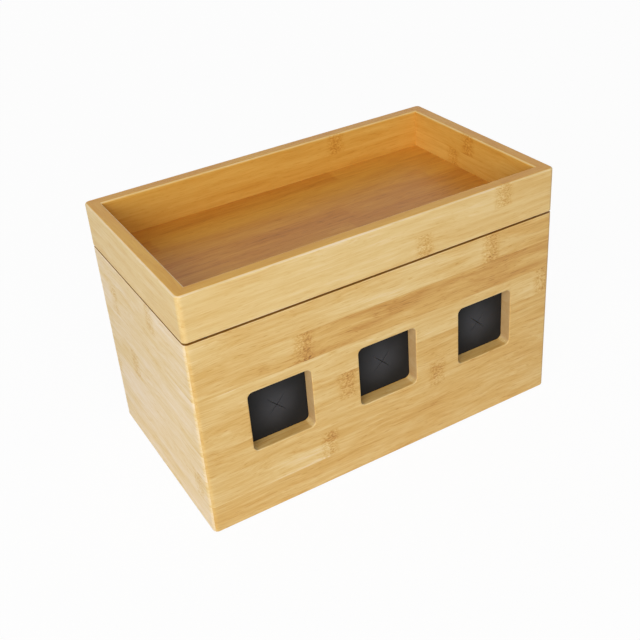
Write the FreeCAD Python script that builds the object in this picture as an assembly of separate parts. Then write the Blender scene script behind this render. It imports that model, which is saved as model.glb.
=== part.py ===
# Bamboo cable management box: four mitred walls on a let-in base board, a lift-off
# tray for a lid, and square windows closed by slit rubber sheets for the leads.
# Millimetres. X runs along the front, Y from front to back and Z up. The origin is
# the middle of the surface that the box stands on. The front faces -Y.
import FreeCAD, Part
import math
import os

Vector = FreeCAD.Vector
Rotation = FreeCAD.Rotation
Placement = FreeCAD.Placement

# Body walls
body_length = 264.2       # outer length of the four walls and of the tray, along X
body_depth = 150.0        # outer depth of the four walls, along Y
wall_height = 139.2       # height of the wall boards
board_thickness = 9.0     # thickness of the wall boards and of the tray rails
corner_round = 3.5        # rounding of the upright outer corners
base_edge_round = 0.9     # rounding of the walls' lower outer edges
seam_edge_round = 0.4     # easing of the edges on both sides of the gap under the tray
rim_edge_round = 1.4      # rounding of the tray's upper edges

# Boards let into rebates
rebate_width = 4.0        # how far a let-in board reaches under the wall or rail
rebate_play = 0.2         # play round the edge of a let-in board
base_thickness = 5.0      # base board
tray_floor_thickness = 3.0

# Feet under the base board
foot_diameter = 10.0
foot_height = 2.0
foot_recess = 1.2         # depth of the drilled recess that holds the foot
foot_play = 0.1           # play round the foot in its recess
foot_inset = 18.0         # outer wall face to the foot's centre
foot_edge_round = 0.4

# Windows for the leads
window_size = 43.2        # clear width and height
window_round = 3.6        # rounding of the window's corners
window_edge_round = 0.8   # easing of the window's outer edge
window_spacing = 77.0     # centre to centre along the front
window_rise = 70.6        # lower edge of the wall to the window's centre

# Slit rubber sheets behind the windows
sheet_thickness = 1.0
sheet_margin = 10.0       # how far the sheet and its retainer reach past the window
sheet_round = 4.0         # rounding of the sheet's and the retainer's corners
leaf_reach = 6.9          # centre of the slits to a leaf's hinge line
slit_gap = 0.3            # width of the two crossed slits
leaf_end_trim = 1.0       # relief at each end of a slit
leaf_play = 0.2           # play round the rounded root of a leaf

# Frames that hold the sheets, and their screws
retainer_thickness = 3.0
retainer_edge = 0.5       # chamfer of the retainer's inner-side edges
screw_inset = 5.0         # edge of the retainer to a screw's axis
screw_diameter = 2.9
screw_length = 10.0
screw_point = 2.0         # length of the screw's tapered point
screw_head_diameter = 5.6
screw_head_height = 1.7
screw_play = 0.05         # play round a screw in its hole
recess_width = 0.7        # arm width of the cross recess
recess_span = 3.0         # tip to tip of the cross recess
recess_depth = 1.0

# Tray lid
rail_height = 30.3        # height of the tray's rails
batten_width = 6.0
batten_height = 8.0
batten_play = 0.8         # play between the battens and the body walls
batten_lead = 1.5         # chamfer that guides the lid into the body

# Pads that the lid rests on
pad_diameter = 6.0
pad_height = 1.4
pad_inset = 14.0          # outer face of the end wall to the pad's centre
pad_edge = 0.2            # chamfer of the pad's upper edge

# Levels and places worked out from the sizes
wall_bottom = foot_height - foot_recess
wall_top = wall_bottom + wall_height
lid_bottom = wall_top + pad_height
sheet_size = window_size + 2 * sheet_margin
screw_offset = sheet_size / 2 - screw_inset
window_level = wall_bottom + window_rise
sheet_plane = body_depth / 2 - board_thickness - sheet_thickness / 2
retainer_back = -sheet_thickness / 2 - retainer_thickness
cut_margin = 1.0          # how far a cutting solid runs past the face that it opens
same_place = 1e-6         # two places nearer than this are the same

# A window's own frame has its middle at the sheet's mid-plane, X to the right as
# seen from outside, Y up, and Z outwards through the window.
facing_front = Rotation(Vector(1, 0, 0), 90)
facing_rear = Rotation(Vector(0, 0, 1), 180).multiply(facing_front)
WINDOWS = {
    "left_window": Placement(Vector(-window_spacing, -sheet_plane, window_level), facing_front),
    "centre_window": Placement(Vector(0, -sheet_plane, window_level), facing_front),
    "right_window": Placement(Vector(window_spacing, -sheet_plane, window_level), facing_front),
    "rear_window": Placement(Vector(0, sheet_plane, window_level), facing_rear),
}
FRONT_WINDOWS = ["left_window", "centre_window", "right_window"]
REAR_WINDOWS = ["rear_window"]
LEAF_TURNS = {side: -90 * turn for turn, side in enumerate(("top", "right", "bottom", "left"))}
CORNERS = {
    "front_left": (-1, -1),
    "front_right": (1, -1),
    "back_left": (-1, 1),
    "back_right": (1, 1),
}


def centred_box(length, depth, height, bottom):
    """Box centred on the Z axis, standing on the given level."""
    return Part.makeBox(length, depth, height, Vector(-length / 2, -depth / 2, bottom))


def edges_along(shape, direction):
    """Straight edges of the shape that run along the given direction."""
    found = []
    for edge in shape.Edges:
        if edge.Curve.TypeId != "Part::GeomLine":
            continue
        span = edge.Vertexes[1].Point.sub(edge.Vertexes[0].Point)
        if abs(abs(span.normalize().dot(direction)) - 1) < same_place:
            found.append(edge)
    return found


def rounded_plate(width, height, thickness, rounding, bottom):
    """Plate centred on the Z axis with rounded upright corners."""
    plate = centred_box(width, height, thickness, bottom)
    return plate.makeFillet(rounding, edges_along(plate, Vector(0, 0, 1)))


def prism(points, bottom, height):
    """Upright prism over a closed outline."""
    corners = [Vector(x, y, bottom) for x, y in points]
    outline = Part.makePolygon(corners + corners[:1])
    return Part.Face(outline).extrude(Vector(0, 0, height))


def placed(shape, window):
    """Copy of a shape moved from a window's own frame to its place in the box."""
    copy = shape.copy()
    copy.Placement = WINDOWS[window].multiply(copy.Placement)
    return copy


def level_edges(shape, level):
    """Edges that lie wholly at one level."""
    found = []
    for edge in shape.Edges:
        box = edge.BoundBox
        if abs(box.ZMin - level) < same_place and abs(box.ZMax - level) < same_place:
            found.append(edge)
    return found


def outermost(edges, length, depth):
    """Those of the edges that lie on the outer wall faces or their corner rounding."""
    found = []
    for edge in edges:
        box = edge.BoundBox
        at_end = max(abs(box.XMin), abs(box.XMax)) > length / 2 - corner_round - same_place
        at_side = max(abs(box.YMin), abs(box.YMax)) > depth / 2 - corner_round - same_place
        if at_end or at_side:
            found.append(edge)
    return found


def wall_ring(length, depth, bottom, height, rebate_height, top_round, bottom_round):
    """Four walls in one piece, rebated under the inner edge, with rounded edges."""
    ring = rounded_plate(length, depth, height, corner_round, bottom)
    hollow_length = length - 2 * board_thickness
    hollow_depth = depth - 2 * board_thickness
    ring = ring.cut(centred_box(hollow_length, hollow_depth, height, bottom))
    rebate = centred_box(
        hollow_length + 2 * rebate_width, hollow_depth + 2 * rebate_width,
        rebate_height + cut_margin, bottom - cut_margin,
    )
    ring = ring.cut(rebate)
    ring = ring.makeFillet(top_round, level_edges(ring, bottom + height))
    bottom_edges = outermost(level_edges(ring, bottom), length, depth)
    return ring.makeFillet(bottom_round, bottom_edges)


def mitred_boards(ring, length, depth, bottom, height):
    """The ring of walls cut at its mitred corners into four boards."""
    end = length / 2 + cut_margin
    side = depth / 2 + cut_margin
    reach = board_thickness + 2 * cut_margin
    front = [(-end, -side), (end, -side), (end - reach, -side + reach), (-end + reach, -side + reach)]
    left = [(-end, -side), (-end + reach, -side + reach), (-end + reach, side - reach), (-end, side)]
    outlines = {
        "front": front,
        "back": [(x, -y) for x, y in front],
        "left": left,
        "right": [(-x, y) for x, y in left],
    }
    return {name: ring.common(prism(outline, bottom, height)) for name, outline in outlines.items()}


def let_in_board(length, depth, thickness, bottom):
    """Board that lies in the rebate of a wall ring of the given outer size."""
    inward = 2 * (board_thickness - rebate_width + rebate_play)
    return centred_box(length - inward, depth - inward, thickness, bottom)


def screw_axes():
    """The four screw axes of one retainer, in the window's own frame."""
    return [Vector(x * screw_offset, y * screw_offset, 0) for x in (-1, 1) for y in (-1, 1)]


def screw_solid(play):
    """Countersunk wood screw, its head flush with the retainer, its point outwards."""
    head_radius = screw_head_diameter / 2 + play
    shank_radius = screw_diameter / 2 + play
    point_start = retainer_back + screw_length - screw_point
    head = Part.makeCone(
        head_radius, shank_radius, screw_head_height, Vector(0, 0, retainer_back),
    )
    shank_start = retainer_back + screw_head_height
    shank = Part.makeCylinder(shank_radius, point_start - shank_start, Vector(0, 0, shank_start))
    point = Part.makeCone(shank_radius, 0, screw_point + play, Vector(0, 0, point_start))
    return head.fuse([shank, point]).removeSplitter()


def cross_recess():
    """The cross-shaped driver recess of a screw head."""
    arms = [
        centred_box(recess_span, recess_width, recess_depth, retainer_back),
        centred_box(recess_width, recess_span, recess_depth, retainer_back),
    ]
    return arms[0].fuse(arms[1])


def screws():
    """The four screws of one retainer."""
    screw = screw_solid(0).cut(cross_recess())
    return [screw.translated(axis) for axis in screw_axes()]


def screw_holes():
    """What one retainer's four screws cut from the pieces that they pass through."""
    hole = screw_solid(screw_play)
    return [hole.translated(axis) for axis in screw_axes()]


def leaf():
    """Upper leaf of a slit sheet: a triangle hung on its rounded root."""
    edge_offset = slit_gap / math.sqrt(2)
    half_root = leaf_reach - leaf_end_trim
    outline = [
        (0, edge_offset),
        (half_root, half_root + edge_offset),
        (half_root, leaf_reach),
        (-half_root, leaf_reach),
        (-half_root, half_root + edge_offset),
    ]
    blade = prism(outline, -sheet_thickness / 2, sheet_thickness)
    root = Part.makeCylinder(
        sheet_thickness / 2, 2 * half_root, Vector(-half_root, leaf_reach, 0), Vector(1, 0, 0),
    )
    return blade.fuse(root).removeSplitter()


def turned_leaf(side):
    """The leaf of one side of the crossed slits, as seen from outside."""
    blade = leaf()
    blade.rotate(Vector(0, 0, 0), Vector(0, 0, 1), LEAF_TURNS[side])
    return blade


def slit_sheet():
    """Rubber sheet with the square place of its four leaves left out."""
    sheet = rounded_plate(sheet_size, sheet_size, sheet_thickness, sheet_round, -sheet_thickness / 2)
    cut = centred_box(
        2 * leaf_reach, 2 * leaf_reach, sheet_thickness + 2 * cut_margin,
        -sheet_thickness / 2 - cut_margin,
    )
    for turn in LEAF_TURNS.values():
        cove = Part.makeCylinder(
            sheet_thickness / 2 + leaf_play, 2 * leaf_reach,
            Vector(-leaf_reach, leaf_reach, 0), Vector(1, 0, 0),
        )
        cove.rotate(Vector(0, 0, 0), Vector(0, 0, 1), turn)
        cut = cut.fuse(cove)
    return sheet.cut(cut).cut(screw_holes())


def retainer():
    """Square frame that clamps a sheet against the inside of the wall."""
    frame = rounded_plate(sheet_size, sheet_size, retainer_thickness, sheet_round, retainer_back)
    frame = frame.makeChamfer(retainer_edge, level_edges(frame, retainer_back))
    opening = rounded_plate(
        window_size, window_size, retainer_thickness + 2 * cut_margin, window_round,
        retainer_back - cut_margin,
    )
    return frame.cut(opening).cut(screw_holes())


def window_cut():
    """Square hole through the wall for one window, in the window's own frame."""
    inner_face = sheet_thickness / 2
    return rounded_plate(
        window_size, window_size, board_thickness + 2 * cut_margin, window_round,
        inner_face - cut_margin,
    )


def ease_window_edges(panel, face_level):
    """Round the windows' edges in the panel's outer face."""
    edges = []
    for edge in panel.Edges:
        box = edge.BoundBox
        in_face = abs(box.YMin - face_level) < same_place and abs(box.YMax - face_level) < same_place
        beside_window = box.ZMin > wall_bottom + base_edge_round and box.ZMax < wall_top - seam_edge_round
        inside_corners = max(abs(box.XMin), abs(box.XMax)) < body_length / 2 - corner_round - same_place
        if in_face and beside_window and inside_corners:
            edges.append(edge)
    return panel.makeFillet(window_edge_round, edges)


def windowed_panel(board, windows, face_level):
    """Wall board with its windows, their eased edges and the screws' pilot holes."""
    for window in windows:
        board = board.cut(placed(window_cut(), window))
    board = ease_window_edges(board, face_level)
    for window in windows:
        for hole in screw_holes():
            board = board.cut(placed(hole, window))
    return board


def foot_centre(corner):
    """Place of one foot, at the level of the surface that the box stands on."""
    x_side, y_side = CORNERS[corner]
    x = x_side * (body_length / 2 - foot_inset)
    y = y_side * (body_depth / 2 - foot_inset)
    return Vector(x, y, 0)


def foot(corner):
    """Rubber foot, seated in its recess under the base board."""
    disc = Part.makeCylinder(foot_diameter / 2, foot_height, foot_centre(corner))
    return disc.makeFillet(foot_edge_round, level_edges(disc, 0))


def base_panel():
    """Base board with the four recesses for the feet."""
    board = let_in_board(body_length, body_depth, base_thickness, wall_bottom)
    for corner in CORNERS:
        recess = Part.makeCylinder(
            foot_diameter / 2 + foot_play, foot_recess + cut_margin,
            foot_centre(corner) + Vector(0, 0, wall_bottom - cut_margin),
        )
        board = board.cut(recess)
    return board


def lid_pad(corner):
    """Small pad on top of a long wall, near its end, that the tray rests on."""
    x_side, y_side = CORNERS[corner]
    x = x_side * (body_length / 2 - pad_inset)
    y = y_side * (body_depth / 2 - board_thickness / 2)
    disc = Part.makeCylinder(pad_diameter / 2, pad_height, Vector(x, y, wall_top))
    return disc.makeChamfer(pad_edge, level_edges(disc, wall_top + pad_height))


def battens():
    """Four strips under the tray floor that locate the lid between the walls."""
    outer_length = body_length - 2 * (board_thickness + batten_play)
    outer_depth = body_depth - 2 * (board_thickness + batten_play)
    bottom = lid_bottom - batten_height
    block = centred_box(outer_length, outer_depth, batten_height, bottom)
    block = block.makeChamfer(batten_lead, level_edges(block, bottom))
    inner_length = outer_length - 2 * batten_width
    inner_depth = outer_depth - 2 * batten_width
    frame = block.cut(centred_box(inner_length, inner_depth, batten_height, bottom))
    between = centred_box(outer_length, inner_depth, batten_height, bottom)
    ends = frame.common(between)
    sides = frame.cut(between)
    return {
        "front": next(piece for piece in sides.Solids if piece.CenterOfMass.y < 0),
        "back": next(piece for piece in sides.Solids if piece.CenterOfMass.y > 0),
        "left": next(piece for piece in ends.Solids if piece.CenterOfMass.x < 0),
        "right": next(piece for piece in ends.Solids if piece.CenterOfMass.x > 0),
    }


def body_pieces():
    """Walls, base board, feet and lid pads."""
    ring = wall_ring(
        body_length, body_depth, wall_bottom, wall_height, base_thickness,
        seam_edge_round, base_edge_round,
    )
    walls = mitred_boards(ring, body_length, body_depth, wall_bottom, wall_height)
    pieces = {
        "front_panel": windowed_panel(walls["front"], FRONT_WINDOWS, -body_depth / 2),
        "back_panel": windowed_panel(walls["back"], REAR_WINDOWS, body_depth / 2),
        "left_panel": walls["left"],
        "right_panel": walls["right"],
        "base_panel": base_panel(),
    }
    for corner in CORNERS:
        pieces["foot_" + corner] = foot(corner)
        pieces["lid_pad_" + corner] = lid_pad(corner)
    return pieces


def window_pieces():
    """Slit sheet, leaves, retainer and screws of every window."""
    pieces = {}
    all_screws = []
    for window in WINDOWS:
        pieces[window + "_sheet"] = placed(slit_sheet(), window)
        pieces[window + "_retainer"] = placed(retainer(), window)
        for side in LEAF_TURNS:
            pieces[window + "_leaf_" + side] = placed(turned_leaf(side), window)
        all_screws += [placed(screw, window) for screw in screws()]
    pieces["retainer_screws"] = Part.makeCompound(all_screws)
    return pieces


def tray_pieces():
    """The lift-off tray: four rails, its floor board and the battens beneath."""
    ring = wall_ring(
        body_length, body_depth, lid_bottom, rail_height, tray_floor_thickness,
        rim_edge_round, seam_edge_round,
    )
    rails = mitred_boards(ring, body_length, body_depth, lid_bottom, rail_height)
    pieces = {"tray_" + side + "_rail": rail for side, rail in rails.items()}
    pieces["tray_floor"] = let_in_board(body_length, body_depth, tray_floor_thickness, lid_bottom)
    for side, batten in battens().items():
        pieces["tray_" + side + "_batten"] = batten
    return pieces


def main():
    os.makedirs("parts", exist_ok=True)
    pieces = {}
    pieces.update(body_pieces())
    pieces.update(window_pieces())
    pieces.update(tray_pieces())
    for name, shape in pieces.items():
        shape.exportStep("parts/" + name + ".step")
        print(name, len(shape.Solids), "solid(s)", round(shape.Volume, 1), "mm3", shape.isValid())


main()
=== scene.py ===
# Looks of a bamboo cable management box with a lift-off tray lid: laminated bamboo boards,
# slit rubber sheets in the windows, their retainers and screws, feet and pads.
import math
import random

import bpy
from mathutils import Matrix, Vector


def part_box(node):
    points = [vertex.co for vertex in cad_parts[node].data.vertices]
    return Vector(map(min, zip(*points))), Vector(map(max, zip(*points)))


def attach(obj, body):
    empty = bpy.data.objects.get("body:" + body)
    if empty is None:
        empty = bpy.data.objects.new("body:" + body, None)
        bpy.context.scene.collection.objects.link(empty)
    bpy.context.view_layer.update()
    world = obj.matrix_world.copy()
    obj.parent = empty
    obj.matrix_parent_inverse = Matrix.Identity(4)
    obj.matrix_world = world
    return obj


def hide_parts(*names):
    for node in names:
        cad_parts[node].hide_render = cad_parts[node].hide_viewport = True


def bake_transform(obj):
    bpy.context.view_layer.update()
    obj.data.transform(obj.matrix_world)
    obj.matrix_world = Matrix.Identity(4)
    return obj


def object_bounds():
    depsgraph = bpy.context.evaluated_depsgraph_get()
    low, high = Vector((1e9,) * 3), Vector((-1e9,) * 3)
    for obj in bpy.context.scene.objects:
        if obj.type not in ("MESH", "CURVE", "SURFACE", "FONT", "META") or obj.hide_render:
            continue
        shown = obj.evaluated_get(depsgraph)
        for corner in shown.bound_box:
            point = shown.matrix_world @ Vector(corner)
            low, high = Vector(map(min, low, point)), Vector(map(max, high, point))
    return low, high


bl_info = {
    "name": "Bamboo Cable Box",
    "version": (1, 0, 0),
    "blender": (4, 5, 0),
    "location": "View3D > Sidebar > Cable Box",
    "description": "Builds the looks of a bamboo cable management box",
    "category": "Object",
}

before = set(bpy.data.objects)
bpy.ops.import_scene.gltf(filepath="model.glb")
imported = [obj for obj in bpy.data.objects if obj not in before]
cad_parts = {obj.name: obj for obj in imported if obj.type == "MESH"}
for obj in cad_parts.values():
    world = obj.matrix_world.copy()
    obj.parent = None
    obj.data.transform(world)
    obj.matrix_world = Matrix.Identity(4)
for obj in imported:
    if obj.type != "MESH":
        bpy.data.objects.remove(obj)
cad_low, cad_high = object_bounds()

MM = 0.001
ROOT_BODY = "box_body"


def linear(hex_colour):
    """Linear RGB of an sRGB hex colour."""
    channels = [int(hex_colour[i:i + 2], 16) / 255 for i in (1, 3, 5)]
    return [c / 12.92 if c <= 0.04045 else ((c + 0.055) / 1.055) ** 2.4 for c in channels]


# Settings

def colour_setting(name, description, hex_colour):
    """A colour that a user may change, given as an sRGB hex value."""
    return bpy.props.FloatVectorProperty(
        name=name, description=description, subtype="COLOR", size=3, min=0, max=1,
        default=linear(hex_colour),
    )


def length_setting(name, description, default):
    """A length that a user may change, in metres."""
    return bpy.props.FloatProperty(
        name=name, description=description, default=default, unit="LENGTH", min=0, precision=5,
    )


def angle_setting(name, description, degrees):
    """An angle that a user may change, given in degrees."""
    return bpy.props.FloatProperty(
        name=name, description=description, subtype="ANGLE", default=math.radians(degrees),
    )


class BambooSettings(bpy.types.PropertyGroup):
    """Sizes and colours of the laminated bamboo"""

    # pale is set pinkish grey for the left side: partly the palest straw, partly painted light
    # of the lit left side
    pale: colour_setting("Pale", "Palest straw of a strip", "#EFDABC")
    straw: colour_setting("Straw", "Usual straw of a strip", "#E3C587")
    golden: colour_setting("Golden", "Golden tone of a riper strip", "#D6AC62")
    amber: colour_setting("Amber", "Amber of the dark streaks", "#C08A40")
    brown: colour_setting("Brown", "Brown of the marks at a knuckle", "#8C5C28")
    # painted bounce light and shade: the warmer, more orange look of the box's interior faces
    inside: colour_setting("Inside tint", "Warm tint of the inner faces", "#FFEBAE")
    # partly the deeper amber of sawn edges, partly painted shade of level faces that catch less
    # light
    sawn: colour_setting("Sawn tint", "Tint of the level sawn edges", "#FFE17C")
    end_grain: colour_setting("End grain", "Colour where the fibres are cut across", "#C8A478")
    # painted shade: darkens the level faces in the gap between tray and box
    painted_gap_shade: colour_setting("Bare tint", "Tint of the unlacquered faces under the tray", "#C2A46C")
    strip_width: length_setting(
        "Strip width", "Width of one glued strip of a wall board", 20 * MM)
    fibre_width: length_setting(
        "Fibre width", "Width of the fibre streaks, as fine as shows", 0.9 * MM)
    fibre_length: length_setting("Fibre length", "Length of the fibre streaks", 26 * MM)
    pore_length: length_setting("Pore length", "Length of the short dark pores", 9 * MM)
    knuckle_width: length_setting(
        "Knuckle width", "Width of the speckled band at a knuckle", 14 * MM)
    wander: length_setting("Wander", "How far the fibres wander from straight", 9 * MM)
    roughness: bpy.props.FloatProperty(
        name="Roughness", description="Roughness of the satin lacquer", subtype="FACTOR",
        default=0.42, min=0, max=1,
    )


class RubberSettings(bpy.types.PropertyGroup):
    """Sizes and colours of the slit rubber sheets"""

    black: colour_setting("Rubber black", "Colour of the sheets", "#17181A")
    # painted light: the middle of a sheet is lighter grey, fading to black where the window's
    # recess shades the edges
    grey: colour_setting("Rubber grey", "Colour of the stretched middle of a sheet", "#37373A")
    dome: length_setting("Dome", "How far the middle of a sheet stands out", 1.2 * MM)
    root_strip: length_setting(
        "Root strip", "Width of rubber that bends on each side of a leaf's root", 1.6 * MM)
    slit_gap: length_setting(
        "Slit gap", "Width of the slits at the middle of the sheet", 0.45 * MM)
    corner: length_setting("Corner", "Radius of the corners of a sheet", 4 * MM)


class StudioSettings(bpy.types.PropertyGroup):
    """Camera and backdrop"""

    azimuth: angle_setting("Azimuth", "Turn of the camera round the box", -27.94)
    elevation: angle_setting("Elevation", "Height of the camera above the horizon", 30.46)
    roll: angle_setting("Roll", "Tilt of the camera about its own axis", -4.87)
    place: bpy.props.FloatVectorProperty(
        name="Place", description="Place of the camera", subtype="XYZ", unit="LENGTH", size=3,
        default=(-0.2766, -0.5082, 0.4361),
    )
    lens: bpy.props.FloatProperty(
        name="Lens", description="Focal length in mm", unit="CAMERA", default=55.4)
    backdrop: colour_setting("Backdrop", "Floor and surroundings", "#FFFFFF")


SETTINGS = {
    "cable_box_bamboo": BambooSettings,
    "cable_box_rubber": RubberSettings,
    "cable_box_studio": StudioSettings,
}


# Nodes

def new_material(name):
    """Material without nodes, and its node tree."""
    material = bpy.data.materials.new(name)
    material.use_nodes = True
    material.node_tree.nodes.clear()
    return material, material.node_tree


def add(tree, kind, inputs=None, stops=(), **settings):
    """Add a node with its settings and links. An input is a value, a socket, or a node, whose
    first output is then meant. stops are the (place, colour) pairs of a colour ramp."""
    made = tree.nodes.new(kind)
    for name, value in settings.items():
        setattr(made, name, value)
    for key, value in (inputs or {}).items():
        if isinstance(value, bpy.types.Node):
            value = value.outputs[0]
        if isinstance(value, bpy.types.NodeSocket):
            tree.links.new(value, made.inputs[key])
        else:
            made.inputs[key].default_value = value
    if stops:
        elements = made.color_ramp.elements
        while len(elements) < len(stops):
            elements.new(0.5)
        for element, (place, colour) in zip(elements, stops):
            element.position = place
            element.color = (*colour, 1)
    return made


# Bamboo

SPAN = 150 * MM               # knuckle places are stored within this distance of the middle
# The strips of a board, from the bottom: knuckle place in mm, tone before it, tone after it
FRONT_STRIPS = [
    (150, 0.46, 0.56),
    (-47, 0.34, 0.48),
    (38, 0.46, 0.44),
    (-31, 0.42, 0.46),
    (126, 0.38, 0.44),
    (-59, 0.46, 0.60),
    (81, 0.38, 0.50),
]
# painted light: the left wall's strips are drawn paler than the other walls', for the key lamp
# on that side; the real boards are alike
PAINTED_LIT_LEFT_STRIPS = [
    (150, 0.14, 0.12),
    (-60, 0.20, 0.12),
    (70, 0.10, 0.18),
    (27, 0.14, 0.20),
    (-150, 0.16, 0.16),
    (48, 0.22, 0.15),
    (-20, 0.14, 0.20),
]
FRONT_RAIL_STRIPS = [(30, 0.34, 0.40), (91, 0.32, 0.42)]
# painted light: the left rail's strips are drawn paler than the other rails', for the key lamp
# on that side
PAINTED_LIT_LEFT_RAIL_STRIPS = [(150, 0.30, 0.28), (-150, 0.26, 0.30)]
RIGHT_RAIL_STRIPS = [(20, 0.42, 0.38), (3, 0.40, 0.44)]
DRAWN_REACH = 145             # a drawn knuckle lies within this many mm of the middle
DRAWN_TONES = (0.38, 0.62)    # and the tones beside it lie between these

# The figure's lengths along and across the grain
WANDER_SIZE = (60 * MM, 18 * MM)
RIPPLE_SIZE = (9 * MM, 6 * MM)       # ripples of a knuckle's line
SPECKLE_SIZE = (1.6 * MM, 1 * MM)    # twice as coarse as real dots, so that they show
RIPPLE_HEIGHT = 5 * MM
TONE_STEP = 1.5 * MM                 # the tone changes within this distance of a knuckle
RIDGE = (0.1 * MM, 0.8 * MM)         # a knuckle's dark line is full up to the first, then fades
BAND = (0.45, 1.25)                  # the same for its band, in halves of its width
SEAM_HALF = 0.018                    # half of a glue line, in widths of a strip
SPECKLE_CUT = (0.38, 0.62)           # noise at which a speckle is palest and darkest
PORE_CUT = (0.6, 0.72)               # noise at which a pore begins and is darkest

# Streaks of fibres, from fine to broad: times the fibre's length, times its width, detail, and
# share of the tone. Real fibres are about 0.2 mm wide and are drawn coarser, so that they show
STREAKS = (
    (1.0, 1.0, 2.0, 0.38),
    (1 / 0.6, 4.0, 3.0, 0.44),
    (1 / 0.35, 1 / 0.075, 2.0, 0.5),
)
PORE_WIDTH = 1 / 1.6                 # of the fibre's width
STRIP_SHIFT = (37.0, 3.0, 11.0)      # moves the noise, so that no two strips look alike

# How much each other mark darkens the tone, where 1 is all the way from pale to brown
PORE_TONE = 0.2
SPECKLE_TONE = 0.15
BAND_TONE = 0.13
RIDGE_TONE = 0.05
SEAM_TONE = 0.04
# painted shade: the upright rounded edges a little darker, to tone down the bright line that
# the lamps put on them
UPRIGHT_EDGE_PAINTED_SHADE = 0.03
LEVEL_EDGE_PAINTED_HIGHLIGHT = -0.16              # painted highlight: the level rounded edges paler, where the light catches them

# Shares of a normal along an axis: up to the first a face doesn't count as level, as cut across
# or as an edge, and from the second it does in full
LEVEL_FACING = (0.86, 0.98)
CROSSCUT_FACING = (0.7, 0.95)
EDGE_FACING = (0.12, 0.38)           # two axes' shares multiplied

PAINTED_BOUNCE_FADE = (0.1 * MM, 0.5 * MM)   # how far past the inner face its tint is full and ends
GAP_SHADE_FADE = (0.3 * MM, 1 * MM)       # the same for the painted shade at the seam under the tray
END_GRAIN_SHARE = 0.6
FIGURE_DEPTH = 0.12 * MM             # relief of the fibres in the lacquer
SPECKLE_DEPTH = 0.6                  # of that relief
GLOSS_RANGE = (-0.04, 0.05)          # change of roughness from fibre to fibre


def drawn_strips(seed, count):
    """Knuckle places and tones of a board's strips, drawn by chance from a fixed seed."""
    draw = random.Random(seed)
    return [
        (
            draw.uniform(-DRAWN_REACH, DRAWN_REACH),
            draw.uniform(*DRAWN_TONES), draw.uniform(*DRAWN_TONES),
        )
        for _ in range(count)
    ]


def grain_noise(tree, place, length, width, shift=(0, 0, 0), detail=2.0, roughness=0.55):
    """Noise in blobs of about the given length along the grain and width across it."""
    vector = add(tree, "ShaderNodeVectorMath", {
        0: place, 1: (1 / length, 1 / width, 1 / width), 2: shift,
    }, operation="MULTIPLY_ADD")
    return add(tree, "ShaderNodeTexNoise", {
        "Vector": vector, "Scale": 1.0, "Detail": detail, "Roughness": roughness,
    })


def wandering_place(tree, point, axes, wander):
    """A point's places along the given axes, of which the first is the grain. The fibres wander
    a little across the other two."""
    straight = add(tree, "ShaderNodeCombineXYZ", {
        name: point[axis] for name, axis in zip("XYZ", axes)
    })
    offset = add(tree, "ShaderNodeMath", {
        0: grain_noise(tree, straight, *WANDER_SIZE, detail=1.0), 1: 0.5,
    }, operation="SUBTRACT")
    return add(tree, "ShaderNodeVectorMath", {
        0: add(tree, "ShaderNodeCombineXYZ", {"Y": offset, "Z": offset}),
        1: (0, wander, wander), 2: straight,
    }, operation="MULTIPLY_ADD")


def strip_values(tree, share, strips):
    """Sockets with the knuckle place of the strip at this share of the board's width, as Red,
    and with the tones before and after the knuckle, as Green and Blue."""
    table = add(tree, "ShaderNodeValToRGB", {"Fac": share}, stops=[
        (number / len(strips), ((place * MM + SPAN) / (2 * SPAN), before, after))
        for number, (place, before, after) in enumerate(strips)
    ])
    table.color_ramp.interpolation = "CONSTANT"
    return add(tree, "ShaderNodeSeparateColor", {"Color": table}).outputs


def knuckle_marks(tree, place, along, knuckle_place, shift, width):
    """Nodes for the marks of a knuckle: whether a point lies beyond it, its speckled band, the
    speckle from -1 to 1, and its dark line."""
    distance = add(tree, "ShaderNodeMath", {0: along, 1: knuckle_place}, operation="SUBTRACT")
    ripple = add(tree, "ShaderNodeMath", {
        0: grain_noise(tree, place, *RIPPLE_SIZE, shift),
        1: RIPPLE_HEIGHT, 2: -RIPPLE_HEIGHT / 2,
    }, operation="MULTIPLY_ADD")
    wavy = add(tree, "ShaderNodeMath", {0: distance, 1: ripple}, operation="ADD")
    beyond = add(tree, "ShaderNodeMapRange", {
        "Value": wavy, "From Min": -TONE_STEP, "From Max": TONE_STEP,
    }, interpolation_type="SMOOTHSTEP")
    away = add(tree, "ShaderNodeMath", {0: wavy}, operation="ABSOLUTE")
    band, ridge = (
        add(tree, "ShaderNodeMapRange", {
            "Value": away, "From Min": full, "From Max": end, "To Min": 1, "To Max": 0,
        }, interpolation_type="SMOOTHSTEP")
        for full, end in ([edge * width / 2 for edge in BAND], RIDGE)
    )
    speckle = add(tree, "ShaderNodeMapRange", {
        "Value": grain_noise(tree, place, *SPECKLE_SIZE, shift, roughness=0.6),
        "From Min": SPECKLE_CUT[0], "From Max": SPECKLE_CUT[1], "To Min": -1,
    })
    return beyond, band, speckle, ridge


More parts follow.
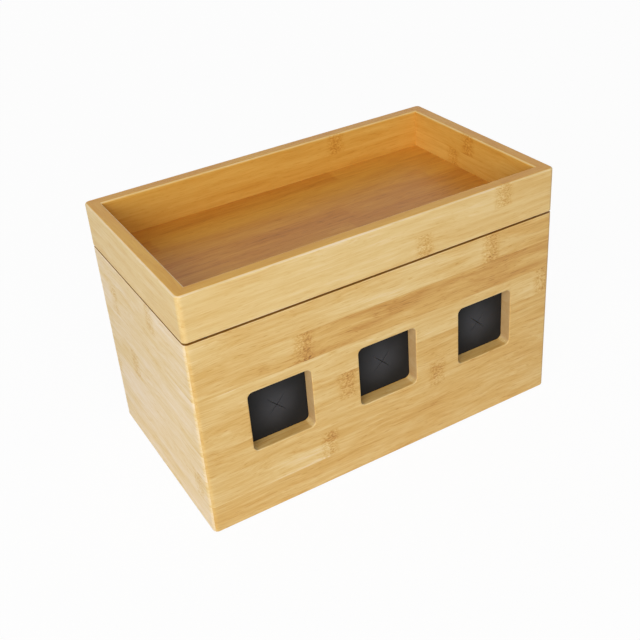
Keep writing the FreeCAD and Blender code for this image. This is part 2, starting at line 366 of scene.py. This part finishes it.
def face_kinds(tree, normal, grain):
    """Nodes for how far a face is level, is cut across the grain, and lies on a rounded edge
    that is upright or level, where the normal is between two axes."""
    size = add(tree, "ShaderNodeVectorMath", {0: normal}, operation="ABSOLUTE")
    facing = add(tree, "ShaderNodeSeparateXYZ", {"Vector": size}).outputs
    level, crosscut = (
        add(tree, "ShaderNodeMapRange", {
            "Value": facing[axis], "From Min": start, "From Max": end,
        })
        for axis, (start, end) in (("Z", LEVEL_FACING), (grain, CROSSCUT_FACING))
    )
    upright_edge, front_edge, side_edge = (
        add(tree, "ShaderNodeMapRange", {
            "Value": add(tree, "ShaderNodeMath", {
                0: facing[one], 1: facing[other],
            }, operation="MULTIPLY"),
            "From Min": EDGE_FACING[0], "From Max": EDGE_FACING[1],
        }, interpolation_type="SMOOTHSTEP")
        for one, other in ("XY", "YZ", "ZX")
    )
    level_edge = add(tree, "ShaderNodeMath", {0: front_edge, 1: side_edge}, operation="MAXIMUM")
    return level, crosscut, upright_edge, level_edge


def face_tints(
    tree, depth, height, level, crosscut, settings, sawn_and_shade_tint, inner_face, seam_face,
):
    """Share, colour and way of mixing of the tints on a board's inner face, its sawn edges, its
    cut ends and its bare face. depth and height are a point's places through the board and
    upwards."""
    # painted bounce light and shade: the board's inner face is tinted warmer
    inner = add(tree, "ShaderNodeMapRange", {
        "Value": add(tree, "ShaderNodeMath", {0: depth}, operation="ABSOLUTE"),
        "From Min": inner_face + PAINTED_BOUNCE_FADE[0], "From Max": inner_face + PAINTED_BOUNCE_FADE[1],
        "To Min": 1, "To Max": 0,
    })
    # partly the deeper amber of sawn edges, partly painted shade of the level faces
    sawn, cut = (
        add(tree, "ShaderNodeMath", {0: share, 1: strength}, operation="MULTIPLY")
        for share, strength in ((level, sawn_and_shade_tint), (crosscut, END_GRAIN_SHARE))
    )
    tints = [
        (inner, settings.inside, "MULTIPLY"),
        (sawn, settings.sawn, "MULTIPLY"),
        (cut, settings.end_grain, "MIX"),
    ]
    # painted shade: the level faces at the seam between tray and box are darkened, where the
    # gap is in shadow
    if seam_face is not None:
        above = add(tree, "ShaderNodeMath", {0: height, 1: seam_face}, operation="SUBTRACT")
        near = add(tree, "ShaderNodeMapRange", {
            "Value": add(tree, "ShaderNodeMath", {0: above}, operation="ABSOLUTE"),
            "From Min": GAP_SHADE_FADE[0], "From Max": GAP_SHADE_FADE[1], "To Min": 1, "To Max": 0,
        })
        painted_gap_shade = add(tree, "ShaderNodeMath", {0: level, 1: near}, operation="MULTIPLY")
        tints.append((painted_gap_shade, settings.painted_gap_shade, "MULTIPLY"))
    return tints


def bamboo(
    node, grain, across, low, high, strips, settings,
    painted_level_tone=0.0, sawn_and_shade_tint=0.0, inner_face=None, seam_face=None, figure=1.0,
):
    """Edge-laminated bamboo under a clear satin lacquer: strips of differing straw and gold
    tones side by side, long fibre streaks, and a speckled band where a strip has a knuckle.
    grain and across are the axes along and across the strips, which lie between low and high.
    Up to inner_face from the middle of the box, the board's own inner face has a warmer tint.
    At the height seam_face the board is bare, without lacquer, and darker. edge_tone and
    sawn_tint change the level faces. figure is the strength of the streaks."""
    material, tree = new_material("lacquered_bamboo_" + node)
    through = next(axis for axis in "XYZ" if axis not in (grain, across))
    coordinates = add(tree, "ShaderNodeTexCoord").outputs
    point = add(tree, "ShaderNodeSeparateXYZ", {"Vector": coordinates["Object"]}).outputs
    place = wandering_place(tree, point, (grain, across, through), settings.wander)

    # each strip's knuckle place and its two tones
    share = add(tree, "ShaderNodeMapRange", {
        "Value": point[across], "From Min": low, "From Max": high,
    })
    strip = strip_values(tree, share, strips)
    knuckle_place = add(tree, "ShaderNodeMapRange", {
        "Value": strip["Red"], "To Min": -SPAN, "To Max": SPAN,
    })
    shift = add(tree, "ShaderNodeVectorMath", {
        0: add(tree, "ShaderNodeCombineXYZ", {
            "X": strip["Red"], "Y": share, "Z": strip["Green"],
        }),
        1: STRIP_SHIFT,
    }, operation="MULTIPLY")

    streaks = [
        grain_noise(
            tree, place, longer * settings.fibre_length, wider * settings.fibre_width,
            shift, detail,
        )
        for longer, wider, detail, weight in STREAKS
    ]
    pore_noise = grain_noise(
        tree, place, settings.pore_length, PORE_WIDTH * settings.fibre_width, shift, 1.0)
    pores = add(tree, "ShaderNodeMapRange", {
        "Value": pore_noise, "From Min": PORE_CUT[0], "From Max": PORE_CUT[1],
    })
    beyond, band, speckle, ridge = knuckle_marks(
        tree, place, point[grain], knuckle_place, shift, settings.knuckle_width)

    # a knuckle's marks stay off the level faces
    level, crosscut, upright_edge, level_edge = face_kinds(tree, coordinates["Normal"], grain)
    upright = add(tree, "ShaderNodeMath", {0: 1.0, 1: level}, operation="SUBTRACT")
    band = add(tree, "ShaderNodeMath", {0: band, 1: upright}, operation="MULTIPLY")
    speckle, ridge = (
        add(tree, "ShaderNodeMath", {0: mark, 1: band}, operation="MULTIPLY")
        for mark in (speckle, ridge)
    )

    # glue lines between the strips
    strip_place = add(tree, "ShaderNodeMath", {0: share, 1: len(strips)}, operation="MULTIPLY")
    seam = add(tree, "ShaderNodeMapRange", {
        "Value": add(tree, "ShaderNodeMath", {0: strip_place, 1: 0.5}, operation="PINGPONG"),
        "From Max": SEAM_HALF, "To Min": 1, "To Max": 0,
    })

    tone = add(tree, "ShaderNodeMapRange", {
        "Value": beyond, "To Min": strip["Green"], "To Max": strip["Blue"],
    })
    weights = [figure * weight for longer, wider, detail, weight in STREAKS]
    # the noise of the streaks lies about 0.5, which leaves a strip's tone as it is
    tone = add(tree, "ShaderNodeMath", {0: tone, 1: sum(weights) / 2}, operation="SUBTRACT")
    # the upright rounded edges get painted shade, the level rounded edges a painted highlight,
    # and the level faces the level tone
    for part, weight in (
        *zip(streaks, weights), (pores, PORE_TONE * figure), (speckle, SPECKLE_TONE),
        (band, BAND_TONE), (ridge, RIDGE_TONE), (seam, SEAM_TONE),
        (upright_edge, UPRIGHT_EDGE_PAINTED_SHADE), (level_edge, LEVEL_EDGE_PAINTED_HIGHLIGHT), (level, painted_level_tone),
    ):
        tone = add(tree, "ShaderNodeMath", {
            0: part, 1: weight, 2: tone,
        }, operation="MULTIPLY_ADD")
    colour = add(tree, "ShaderNodeValToRGB", {"Fac": tone}, stops=[
        (0.0, settings.pale), (0.28, settings.straw), (0.52, settings.golden),
        (0.78, settings.amber), (1.0, settings.brown),
    ])

    if inner_face is not None:
        for share_of_tint, tint, way in face_tints(
            tree, point[through], point["Z"], level, crosscut, settings,
            sawn_and_shade_tint, inner_face, seam_face,
        ):
            tinted = add(tree, "ShaderNodeMix", {
                0: share_of_tint, 6: colour, 7: (*tint, 1),
            }, data_type="RGBA", blend_type=way)
            colour = tinted.outputs[2]

    fine, streak, _ = streaks
    fibres = add(tree, "ShaderNodeMath", {
        0: fine, 1: 0.5, 2: add(tree, "ShaderNodeMath", {
            0: streak, 1: 0.5,
        }, operation="MULTIPLY"),
    }, operation="MULTIPLY_ADD")
    height = add(tree, "ShaderNodeMath", {
        0: speckle, 1: SPECKLE_DEPTH, 2: fibres,
    }, operation="MULTIPLY_ADD")
    shader = add(tree, "ShaderNodeBsdfPrincipled", {
        "Base Color": colour,
        "Roughness": add(tree, "ShaderNodeMapRange", {
            "Value": fine, "From Min": 0.3, "From Max": 0.7,
            "To Min": settings.roughness + GLOSS_RANGE[0],
            "To Max": settings.roughness + GLOSS_RANGE[1],
        }),
        "IOR": 1.5, "Specular IOR Level": 0.4, "Coat Weight": 0.15, "Coat Roughness": 0.3,
        "Normal": add(tree, "ShaderNodeBump", {
            "Strength": 0.35, "Distance": FIGURE_DEPTH, "Height": height,
        }),
    })
    add(tree, "ShaderNodeOutputMaterial", {"Surface": shader})
    return material


def dress(node, material):
    """Give a CAD node its material."""
    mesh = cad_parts[node].data
    mesh.materials.clear()
    mesh.materials.append(material)


def inner_distance(node):
    """Distance of a wall's or rail's inner face from the middle of the box."""
    low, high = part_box(node)
    thin = min((high.x - low.x, "x"), (high.y - low.y, "y"))[1]
    return min(abs(getattr(low, thin)), abs(getattr(high, thin)))


class CABLEBOX_OT_dress_walls(bpy.types.Operator):
    """Give the four walls their bamboo"""

    bl_idname = "cable_box.dress_walls"
    bl_label = "Dress Walls"

    def execute(self, context):
        settings = context.scene.cable_box_bamboo
        low, high = (corner.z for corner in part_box("front_panel"))
        count = round((high - low) / settings.strip_width)
        walls = {
            "front_panel": ("X", FRONT_STRIPS),
            "back_panel": ("X", drawn_strips(11, count)),
            "left_panel": ("Y", PAINTED_LIT_LEFT_STRIPS),
            "right_panel": ("Y", drawn_strips(23, count)),
        }
        for node, (grain, strips) in walls.items():
            dress(node, bamboo(
                node, grain, "Z", low, high, strips, settings, painted_level_tone=-0.1, sawn_and_shade_tint=0.2,
                inner_face=inner_distance(node), seam_face=high,
            ))
        return {"FINISHED"}


class CABLEBOX_OT_dress_tray_rails(bpy.types.Operator):
    """Give the four rails of the tray their bamboo"""

    bl_idname = "cable_box.dress_tray_rails"
    bl_label = "Dress Tray Rails"

    def execute(self, context):
        settings = context.scene.cable_box_bamboo
        low, high = (corner.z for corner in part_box("tray_front_rail"))
        rails = {
            "tray_front_rail": ("X", FRONT_RAIL_STRIPS),
            "tray_back_rail": ("X", drawn_strips(31, 2)),
            "tray_left_rail": ("Y", PAINTED_LIT_LEFT_RAIL_STRIPS),
            "tray_right_rail": ("Y", RIGHT_RAIL_STRIPS),
        }
        for node, (grain, strips) in rails.items():
            dress(node, bamboo(
                node, grain, "Z", low, high, strips, settings, painted_level_tone=0.04, sawn_and_shade_tint=1.0,
                inner_face=inner_distance(node), seam_face=low, figure=0.65,
            ))
        return {"FINISHED"}


class CABLEBOX_OT_dress_floors(bpy.types.Operator):
    """Give the tray's floor board and the base board their bamboo"""

    bl_idname = "cable_box.dress_floors"
    bl_label = "Dress Floor Boards"

    def execute(self, context):
        settings = context.scene.cable_box_bamboo
        for node, seed, looks in (
            # the painted bounce tint covers the whole of the tray's floor; its level tone and
            # sawn tint darken and warm the whole floor: partly the floor's own darker tone,
            # partly painted shade of the tray's interior
            ("tray_floor", 41, {
                "painted_level_tone": 0.17, "sawn_and_shade_tint": 0.3, "inner_face": cad_high.z, "figure": 0.7,
            }),
            ("base_panel", 43, {}),
        ):
            low, high = (corner.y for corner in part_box(node))
            strips = drawn_strips(seed, round((high - low) / settings.strip_width))
            dress(node, bamboo(node, "X", "Y", low, high, strips, settings, **looks))
        return {"FINISHED"}


class CABLEBOX_OT_dress_battens(bpy.types.Operator):
    """Give the battens under the tray their bamboo"""

    bl_idname = "cable_box.dress_battens"
    bl_label = "Dress Battens"

    def execute(self, context):
        settings = context.scene.cable_box_bamboo
        for side, grain in (("front", "X"), ("back", "X"), ("left", "Y"), ("right", "Y")):
            node = f"tray_{side}_batten"
            low, high = (corner.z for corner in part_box(node))
            strips = drawn_strips("batten " + side, 1)
            dress(node, bamboo(node, grain, "Z", low, high, strips, settings))
        return {"FINISHED"}


# Plain moulded materials

GRIT_TONE = 0.15     # how much darker and lighter than its colour a grit's hollows and tips are


def moulded(name, hex_colour, roughness, grit, depth, metallic=0.0):
    """Evenly coloured material with a fine surface texture of the given grit size. The grit is
    a few times coarser than the real one, so that it shows."""
    material, tree = new_material(name)
    texture = add(tree, "ShaderNodeTexNoise", {
        "Vector": add(tree, "ShaderNodeTexCoord").outputs["Object"],
        "Scale": 1 / grit, "Detail": 3.0,
    })
    shader = add(tree, "ShaderNodeBsdfPrincipled", {
        "Base Color": add(tree, "ShaderNodeValToRGB", {"Fac": texture}, stops=[
            (0.35, [c * (1 - GRIT_TONE) for c in linear(hex_colour)]),
            (0.65, [c * (1 + GRIT_TONE) for c in linear(hex_colour)]),
        ]),
        "Roughness": roughness, "Metallic": metallic,
        "Normal": add(tree, "ShaderNodeBump", {
            "Strength": 0.4, "Distance": depth, "Height": texture,
        }),
    })
    add(tree, "ShaderNodeOutputMaterial", {"Surface": shader})
    return material


def dress_group(start, end, material):
    """Give one material to every node whose name starts and ends in the given way."""
    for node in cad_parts:
        if node.startswith(start) and node.endswith(end):
            dress(node, material)


class CABLEBOX_OT_dress_retainers(bpy.types.Operator):
    """Give the frames that hold the sheets their plastic"""

    bl_idname = "cable_box.dress_retainers"
    bl_label = "Dress Retainers"

    def execute(self, context):
        # ABS moulded in a spark-eroded tool: near black, with a fine grit that dulls its gloss
        plastic = moulded("moulded_abs_retainer", "#222223", 0.5, 0.5 * MM, 0.04 * MM)
        dress_group("", "_retainer", plastic)
        return {"FINISHED"}


class CABLEBOX_OT_dress_screws(bpy.types.Operator):
    """Give the retainers' screws their zinc"""

    bl_idname = "cable_box.dress_screws"
    bl_label = "Dress Screws"

    def execute(self, context):
        # bright zinc plating: pale grey metal with a soft, slightly cloudy shine
        steel = moulded(
            "zinc_plated_screw", "#B9B8B2", 0.34, 0.9 * MM, 0.01 * MM, metallic=1.0)
        dress_group("retainer_screws", "", steel)
        return {"FINISHED"}


class CABLEBOX_OT_dress_feet(bpy.types.Operator):
    """Give the feet their rubber"""

    bl_idname = "cable_box.dress_feet"
    bl_label = "Dress Feet"

    def execute(self, context):
        # moulded rubber: dark grey and matt, so that it shows hardly any highlight
        rubber = moulded("moulded_rubber_foot", "#2A2A2A", 0.7, 0.6 * MM, 0.05 * MM)
        dress_group("foot_", "", rubber)
        return {"FINISHED"}


class CABLEBOX_OT_dress_lid_pads(bpy.types.Operator):
    """Give the pads that the tray rests on their felt"""

    bl_idname = "cable_box.dress_lid_pads"
    bl_label = "Dress Lid Pads"

    def execute(self, context):
        # dense self-adhesive felt: dark brown, quite without gloss
        felt = moulded("dark_felt_pad", "#2B2019", 0.85, 0.4 * MM, 0.06 * MM)
        dress_group("lid_pad_", "", felt)
        return {"FINISHED"}


# Slit rubber sheets

SHEET_CELL = 1.2 * MM                   # cell of the grid that a sheet starts from
SHEET_MARGIN = 10 * MM                  # how far a sheet reaches past its window
CORNER_CUTS = (15, 30, 45, 60, 75)      # turns in degrees of the cuts that round a corner
TIP_REACH = 0.05 * MM                   # a vertex this near to the slits' crossing is a tip
SMOOTH_ANGLE = math.radians(35)
SIDES = {                               # from the crossing to each leaf's root
    "top": Vector((0, 1, 0)),
    "right": Vector((1, 0, 0)),
    "bottom": Vector((0, -1, 0)),
    "left": Vector((-1, 0, 0)),
}
SKIN_GRIT = 0.6 * MM                    # moulded texture, coarser than the real one
SKIN_DEPTH = 0.04 * MM
CLOUD = 14 * MM                         # how far apart the patches lie that make the painted light on the middle uneven
CLOUD_SHARE = 0.2                       # how far a patch shifts the grey, in window widths
PAINTED_LIGHT_REACH = (0.12, 0.62)               # painted light grey up to the first and black from the second


def choose(item, elements, test):
    """In edit mode, select the vertices or polygons whose middle passes the test."""
    bpy.ops.mesh.select_mode(type="VERT" if elements == "vertices" else "FACE")
    bpy.ops.mesh.select_all(action="DESELECT")
    bpy.ops.object.mode_set(mode="OBJECT")
    for element in getattr(item.data, elements):
        middle = element.co if elements == "vertices" else element.center
        element.select = bool(test(middle))
    bpy.ops.object.mode_set(mode="EDIT")


def only(item):
    """Make one object the only selected and active one."""
    bpy.ops.object.select_all(action="DESELECT")
    item.select_set(True)
    bpy.context.view_layer.objects.active = item


def leaf_side(point, half_root):
    """The side of the crossed slits that a point lies on, or nothing beyond the leaves."""
    if max(abs(point.x), abs(point.y)) >= half_root:
        return None
    if abs(point.y) > abs(point.x):
        return "top" if point.y > 0 else "bottom"
    return "right" if point.x > 0 else "left"


def domed_sheet(size, corner, half_root, window, dome):
    """Flat grid with round corners, cut along the slits and the leaves' roots, its middle
    pushed out."""
    bpy.ops.object.select_all(action="DESELECT")
    cells = round(size / SHEET_CELL)
    bpy.ops.mesh.primitive_grid_add(x_subdivisions=cells, y_subdivisions=cells, size=size)
    sheet = bpy.context.object
    bpy.ops.object.mode_set(mode="EDIT")
    for quarter in range(4):
        for degrees in CORNER_CUTS:
            turn = math.radians(90 * quarter + degrees)
            normal = Vector((math.cos(turn), math.sin(turn), 0))
            reach = (size / 2 - corner) * (abs(normal.x) + abs(normal.y)) + corner
            bpy.ops.mesh.select_all(action="SELECT")
            bpy.ops.mesh.bisect(plane_co=reach * normal, plane_no=normal, clear_outer=True)
    for sign in (-1, 1):
        for direction in (SIDES["right"], SIDES["top"]):
            bpy.ops.mesh.select_all(action="SELECT")
            bpy.ops.mesh.bisect(plane_co=sign * half_root * direction, plane_no=direction)
    for direction in ((1, 1, 0), (1, -1, 0)):
        choose(sheet, "polygons", lambda point: leaf_side(point, half_root))
        bpy.ops.mesh.bisect(plane_co=(0, 0, 0), plane_no=direction)
    choose(sheet, "polygons", lambda point: leaf_side(point, half_root))
    bpy.ops.mesh.subdivide(number_cuts=1)
    choose(sheet, "vertices", lambda point: point.length < TIP_REACH)
    bpy.ops.transform.translate(
        value=(0, 0, dome), use_proportional_edit=True,
        proportional_edit_falloff="SMOOTH", proportional_size=window / 2,
    )
    bpy.ops.object.mode_set(mode="OBJECT")
    return sheet


def thicken(item, thickness):
    """Give a domed skin its thickness, inwards from its outer face."""
    only(item)
    modifier = item.modifiers.new("thickness", "SOLIDIFY")
    modifier.thickness = thickness
    modifier.offset = -1
    bpy.ops.object.modifier_apply(modifier=modifier.name)
    bpy.ops.object.shade_smooth_by_angle(angle=SMOOTH_ANGLE)


def slit_rubber(size, thickness, half_root, window, settings):
    """One window's rubber in its own frame: the sheet and its four leaves by side. The leaves'
    tips are drawn back, so that the slits open a little towards the middle."""
    sheet = domed_sheet(size, settings.corner, half_root, window, settings.dome)
    pieces = {}
    for side, outwards in SIDES.items():
        only(sheet)
        bpy.ops.object.mode_set(mode="EDIT")
        choose(sheet, "polygons", lambda point: leaf_side(point, half_root) == side)
        bpy.ops.mesh.separate(type="SELECTED")
        bpy.ops.object.mode_set(mode="OBJECT")
        leaf = next(item for item in bpy.context.selected_objects if item != sheet)
        only(leaf)
        bpy.ops.object.mode_set(mode="EDIT")
        choose(leaf, "vertices", lambda point: math.hypot(point.x, point.y) < TIP_REACH)
        bpy.ops.transform.translate(
            value=outwards * settings.slit_gap / math.sqrt(2), use_proportional_edit=True,
            proportional_edit_falloff="ROOT", proportional_size=half_root,
        )
        bpy.ops.object.mode_set(mode="OBJECT")
        thicken(leaf, thickness)
        pieces[side] = leaf
    thicken(sheet, thickness)
    pieces["sheet"] = sheet
    return pieces


def placed_copy(item, name, place, turn):
    """Copy of a piece with its own mesh, stood upright, turned and moved in the mesh."""
    only(item)
    bpy.ops.object.duplicate()
    copy = bpy.context.object
    copy.name = name
    copy.data.name = name
    copy.rotation_euler = (math.radians(90), 0, turn)
    copy.location = place
    bpy.ops.object.transform_apply(location=True, rotation=True, scale=True)
    return copy


def black_rubber(name, middle, window, settings):
    """Soft black silicone rubber sheet, moulded with a fine matt texture that scatters the
    light into a broad, weak sheen. The stretched middle of the sheet is a little greyer."""
    material, tree = new_material(name)
    place = add(tree, "ShaderNodeTexCoord").outputs["Object"]
    grit, cloud = (
        add(tree, "ShaderNodeTexNoise", {"Vector": place, "Scale": 1 / size, "Detail": detail})
        for size, detail in ((SKIN_GRIT, 3.0), (CLOUD, 2.0))
    )
    away = add(tree, "ShaderNodeVectorMath", {0: place, 1: middle}, operation="DISTANCE")
    clouded = add(tree, "ShaderNodeMath", {
        0: cloud, 1: CLOUD_SHARE * window, 2: away.outputs["Value"],
    }, operation="MULTIPLY_ADD")
    # painted light on the middle of the sheet, painted shade towards the window's edges
    share = add(tree, "ShaderNodeMapRange", {
        "Value": clouded,
        "From Min": PAINTED_LIGHT_REACH[0] * window, "From Max": PAINTED_LIGHT_REACH[1] * window,
    }, interpolation_type="SMOOTHSTEP")
    shader = add(tree, "ShaderNodeBsdfPrincipled", {
        "Base Color": add(tree, "ShaderNodeValToRGB", {"Fac": share}, stops=[
            (0.0, settings.grey), (1.0, settings.black),
        ]),
        "Roughness": 0.62, "Specular IOR Level": 0.25,
        "Normal": add(tree, "ShaderNodeBump", {
            "Strength": 0.3, "Distance": SKIN_DEPTH, "Height": grit,
        }),
    })
    add(tree, "ShaderNodeOutputMaterial", {"Surface": shader})
    return material


class CABLEBOX_OT_build_slit_sheets(bpy.types.Operator):
    """Slit rubber sheets, each domed a little, with four leaves that bend at their roots"""

    bl_idname = "cable_box.build_slit_sheets"
    bl_label = "Build Slit Sheets"

    def execute(self, context):
        settings = context.scene.cable_box_rubber
        low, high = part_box("centre_window_sheet")
        size = high.x - low.x
        thickness = high.y - low.y
        middle = (low + high) / 2
        leaf_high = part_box("centre_window_leaf_top")[1]
        reach = leaf_high.z - thickness / 2 - middle.z
        half_root = reach + settings.root_strip
        window = size - 2 * SHEET_MARGIN
        patterns = slit_rubber(size, thickness, half_root, window, settings)
        for window_name in ("left_window", "centre_window", "right_window", "rear_window"):
            low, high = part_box(window_name + "_sheet")
            middle = (low + high) / 2
            rear = middle.y > 0
            outer = Vector((middle.x, high.y if rear else low.y, middle.z))
            turn = math.pi if rear else 0
            rubber = black_rubber("black_silicone_" + window_name, middle, window, settings)
            for part, pattern in patterns.items():
                node = window_name + ("_sheet" if part == "sheet" else "_leaf_" + part)
                piece = placed_copy(pattern, "rubber_" + node, outer, turn)
                piece.data.materials.clear()
                piece.data.materials.append(rubber)
                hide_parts(node)
                if part == "sheet":
                    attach(piece, ROOT_BODY)
                else:
                    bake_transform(piece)
        for pattern in patterns.values():
            bpy.data.objects.remove(pattern)
        return {"FINISHED"}


# Stage

PHOTO_WIDTH = 640                    # pixels of the square picture
OPTICAL_AXIS = (316.62, 286.81)      # the pixel that the lens is centred on
CAMERA_NEAR = 10 * MM                # nothing is cut away down to this distance
FLOOR_SIZE = 12                      # side of the floor in metres
FLOOR_PALENESS = 0.9                 # of the backdrop's colour, where the floor is lit
FLOOR_SEEN = 0.95                    # share of the plain backdrop in what the camera sees
SURROUND_LIGHT = 0.34                # light that the surroundings give
SOFTBOXES = (                        # place and side in metres, watts, whether gloss shows it
    ("key_softbox", (-1.5, -1.2, 0.9), 1.3, 26, True),
    ("front_softbox", (-0.3, -1.9, 1.2), 1.5, 9, True),
    ("rear_softbox", (0.9, 1.9, 0.3), 1.5, 8, False),
)


class CABLEBOX_OT_build_stage(bpy.types.Operator):
    """Floor, soft light and the camera"""

    bl_idname = "cable_box.build_stage"
    bl_label = "Build Stage"

    def execute(self, context):
        settings = context.scene.cable_box_studio
        scene = context.scene
        bpy.ops.object.select_all(action="DESELECT")
        bpy.ops.mesh.primitive_plane_add(size=FLOOR_SIZE, location=(0, 0, cad_low.z))
        floor = context.object
        floor.name = "studio_floor"
        floor.data.materials.append(self.paper(settings))

        scene.world = self.surroundings(settings)
        for softbox in SOFTBOXES:
            self.lamp(*softbox)

        data = bpy.data.cameras.new("photo_camera")
        camera = bpy.data.objects.new("photo_camera", data)
        scene.collection.objects.link(camera)
        data.lens = settings.lens
        data.shift_x = (PHOTO_WIDTH / 2 - OPTICAL_AXIS[0]) / PHOTO_WIDTH
        data.shift_y = (OPTICAL_AXIS[1] - PHOTO_WIDTH / 2) / PHOTO_WIDTH
        data.clip_start = CAMERA_NEAR
        self.aim(camera, settings)
        scene.camera = camera
        scene.view_settings.view_transform = "Standard"
        return {"FINISHED"}

    def paper(self, settings):
        """Matt white paper that the camera sees a little whiter than it is lit."""
        material, tree = new_material("white_paper_floor")
        matt = add(tree, "ShaderNodeBsdfDiffuse", {
            "Color": (*[FLOOR_PALENESS * c for c in settings.backdrop], 1),
        })
        shown = add(tree, "ShaderNodeEmission", {
            "Color": (*settings.backdrop, 1), "Strength": 1.0,
        })
        share = add(tree, "ShaderNodeMath", {
            0: add(tree, "ShaderNodeLightPath").outputs["Is Camera Ray"], 1: FLOOR_SEEN,
        }, operation="MULTIPLY")
        mixed = add(tree, "ShaderNodeMixShader", {0: share, 1: matt, 2: shown})
        add(tree, "ShaderNodeOutputMaterial", {"Surface": mixed})
        return material

    def surroundings(self, settings):
        """World that lights softly and looks like the backdrop, also in gloss and glass."""
        world = bpy.data.worlds.new("studio_world")
        world.use_nodes = True
        tree = world.node_tree
        tree.nodes.clear()
        path = add(tree, "ShaderNodeLightPath").outputs
        seen = path["Is Camera Ray"]
        for ray in ("Is Glossy Ray", "Is Transmission Ray"):
            seen = add(tree, "ShaderNodeMath", {0: seen, 1: path[ray]}, operation="MAXIMUM")
        lit = add(tree, "ShaderNodeBackground", {
            "Color": (1, 1, 1, 1), "Strength": SURROUND_LIGHT,
        })
        shown = add(tree, "ShaderNodeBackground", {
            "Color": (*settings.backdrop, 1), "Strength": 1.0,
        })
        mixed = add(tree, "ShaderNodeMixShader", {0: seen, 1: lit, 2: shown})
        add(tree, "ShaderNodeOutputWorld", {"Surface": mixed})
        return world

    def lamp(self, name, place, size, power, in_gloss):
        """Square softbox that faces the middle of the box."""
        data = bpy.data.lights.new(name, "AREA")
        data.shape = "SQUARE"
        data.size = size
        data.energy = power
        lamp = bpy.data.objects.new(name, data)
        bpy.context.scene.collection.objects.link(lamp)
        lamp.location = place
        lamp.visible_glossy = in_gloss
        target = Vector((0, 0, (cad_low.z + cad_high.z) / 2))
        lamp.rotation_euler = (target - Vector(place)).to_track_quat("-Z", "Y").to_euler()

    def aim(self, camera, settings):
        """Place and turn the camera by its azimuth, elevation and roll."""
        level = math.cos(settings.elevation)
        back = Vector((
            math.sin(settings.azimuth) * level,
            -math.cos(settings.azimuth) * level,
            math.sin(settings.elevation),
        ))
        right = (-back).cross(Vector((0, 0, 1))).normalized()
        turned = Matrix.Rotation(settings.roll, 3, back) @ right
        up = back.cross(turned)
        facing = Matrix((turned, up, back)).transposed().to_4x4()
        camera.matrix_world = Matrix.Translation(settings.place) @ facing


class CABLEBOX_PT_panel(bpy.types.Panel):
    """Lists the steps that build the looks of the box"""

    bl_label = "Cable Box"
    bl_idname = "CABLEBOX_PT_panel"
    bl_space_type = "VIEW_3D"
    bl_region_type = "UI"
    bl_category = "Cable Box"

    def draw(self, context):
        for operator in OPERATORS:
            self.layout.operator(operator.bl_idname)
        for group, settings in SETTINGS.items():
            column = self.layout.column(heading=settings.__doc__)
            for name in settings.__annotations__:
                column.prop(getattr(context.scene, group), name)


OPERATORS = [
    CABLEBOX_OT_dress_walls,
    CABLEBOX_OT_dress_tray_rails,
    CABLEBOX_OT_dress_floors,
    CABLEBOX_OT_dress_battens,
    CABLEBOX_OT_dress_retainers,
    CABLEBOX_OT_dress_screws,
    CABLEBOX_OT_dress_feet,
    CABLEBOX_OT_dress_lid_pads,
    CABLEBOX_OT_build_slit_sheets,
    CABLEBOX_OT_build_stage,
]


def register():
    for settings in SETTINGS.values():
        bpy.utils.register_class(settings)
    for group, settings in SETTINGS.items():
        setattr(bpy.types.Scene, group, bpy.props.PointerProperty(type=settings))
    for panel_or_operator in [*OPERATORS, CABLEBOX_PT_panel]:
        bpy.utils.register_class(panel_or_operator)


def unregister():
    for panel_or_operator in [*OPERATORS, CABLEBOX_PT_panel]:
        bpy.utils.unregister_class(panel_or_operator)
    for group, settings in SETTINGS.items():
        delattr(bpy.types.Scene, group)
        bpy.utils.unregister_class(settings)


def main():
    register()
    bpy.ops.cable_box.dress_walls()
    bpy.ops.cable_box.dress_tray_rails()
    bpy.ops.cable_box.dress_floors()
    bpy.ops.cable_box.dress_battens()
    bpy.ops.cable_box.dress_retainers()
    bpy.ops.cable_box.dress_screws()
    bpy.ops.cable_box.dress_feet()
    bpy.ops.cable_box.dress_lid_pads()
    bpy.ops.cable_box.build_slit_sheets()
    bpy.ops.cable_box.build_stage()


if __name__ == "__main__":
    main()
